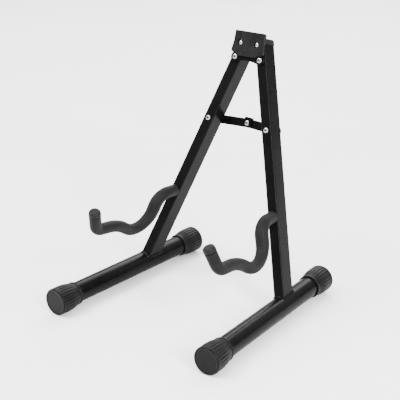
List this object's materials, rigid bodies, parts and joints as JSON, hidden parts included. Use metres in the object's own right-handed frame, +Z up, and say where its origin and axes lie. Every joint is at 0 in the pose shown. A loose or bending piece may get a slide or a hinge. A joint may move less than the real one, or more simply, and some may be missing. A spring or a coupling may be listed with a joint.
{
  "type": "guitar stand",
  "caption": "Folding A-frame guitar stand with hinged rectangular legs, a jointed strip brace, foam-sleeved cradle arms, round foot tubes in ribbed rubber caps and a padded back rest",
  "frame": {"origin": "on the floor, in the middle of the stand's overall box", "axes": "+Z up, -Y towards the front, where the cradle arms and the long ends of the feet point, +X to the right as seen from the front"},
  "size_m": [0.2872, 0.2894, 0.351],
  "materials": {
    "black_paint": "gloss black paint over steel tube and strip",
    "rest_rubber": "semi-matt moulded rubber",
    "cap_rubber": "satin moulded rubber",
    "foam": "matt closed-cell foam rubber",
    "plug_plastic": "matt black plastic",
    "nylon": "black nylon",
    "nickel": "bright nickel-plated rivet",
    "zinc": "bright zinc-plated steel"
  },
  "bodies": {
    "bracket": {"hinge_plate": "black_paint", "rest_pad": "rest_rubber", "pad_screws": "zinc", "pivot_washers": "nylon", "left_pivot_rivet": "nickel", "right_pivot_rivet": "nickel"},
    "left_side": {"left_leg": "black_paint", "left_leg_plug": "plug_plastic", "left_foot_tube": "black_paint", "left_foot_weld": "black_paint", "left_front_cap": "cap_rubber", "left_rear_cap": "cap_rubber", "left_arm_rod": "black_paint", "left_arm_sleeve": "foam", "left_arm_tip": "plug_plastic", "left_brace_rivet": "nickel"},
    "right_side": {"right_leg": "black_paint", "right_leg_plug": "plug_plastic", "right_foot_tube": "black_paint", "right_foot_weld": "black_paint", "right_front_cap": "cap_rubber", "right_rear_cap": "cap_rubber", "right_arm_rod": "black_paint", "right_arm_sleeve": "foam", "right_arm_tip": "plug_plastic", "right_brace_rivet": "nickel", "right_brace_spacer": "zinc"},
    "left_strip": {"left_brace_strip": "black_paint", "centre_rivet_head": "nickel"},
    "right_strip": {"right_brace_strip": "black_paint", "centre_rivet_tail": "nickel"}
  },
  "joints": [
    {"name": "left_leg_fold", "type": "hinge", "parent": "bracket", "child": "left_side", "pos_m": [-0.01979, 0.12409, 0.31202], "axis": [0, -0.9578, 0.2874], "range_deg": [0, 16.5]},
    {"name": "right_leg_fold", "type": "hinge", "parent": "bracket", "child": "right_side", "pos_m": [0.01979, 0.12409, 0.31202], "axis": [0, -0.9578, 0.2874], "range_deg": [-16.5, 0]},
    {"name": "left_brace_hinge", "type": "hinge", "parent": "left_side", "child": "left_strip", "pos_m": [-0.04761, 0.09889, 0.22803], "axis": [0, -0.9578, 0.2874], "range_deg": [0, 44]},
    {"name": "right_brace_hinge", "type": "hinge", "parent": "right_side", "child": "right_strip", "pos_m": [0.04761, 0.09889, 0.22803], "axis": [0, -0.9578, 0.2874], "range_deg": [-44, 0]}
  ],
  "couplings": [
    {"joint": "right_leg_fold", "follows": "left_leg_fold", "ratio": -1},
    {"joint": "left_brace_hinge", "follows": "left_leg_fold", "ratio": 2.6436},
    {"joint": "right_brace_hinge", "follows": "left_leg_fold", "ratio": -2.6436}
  ]
}
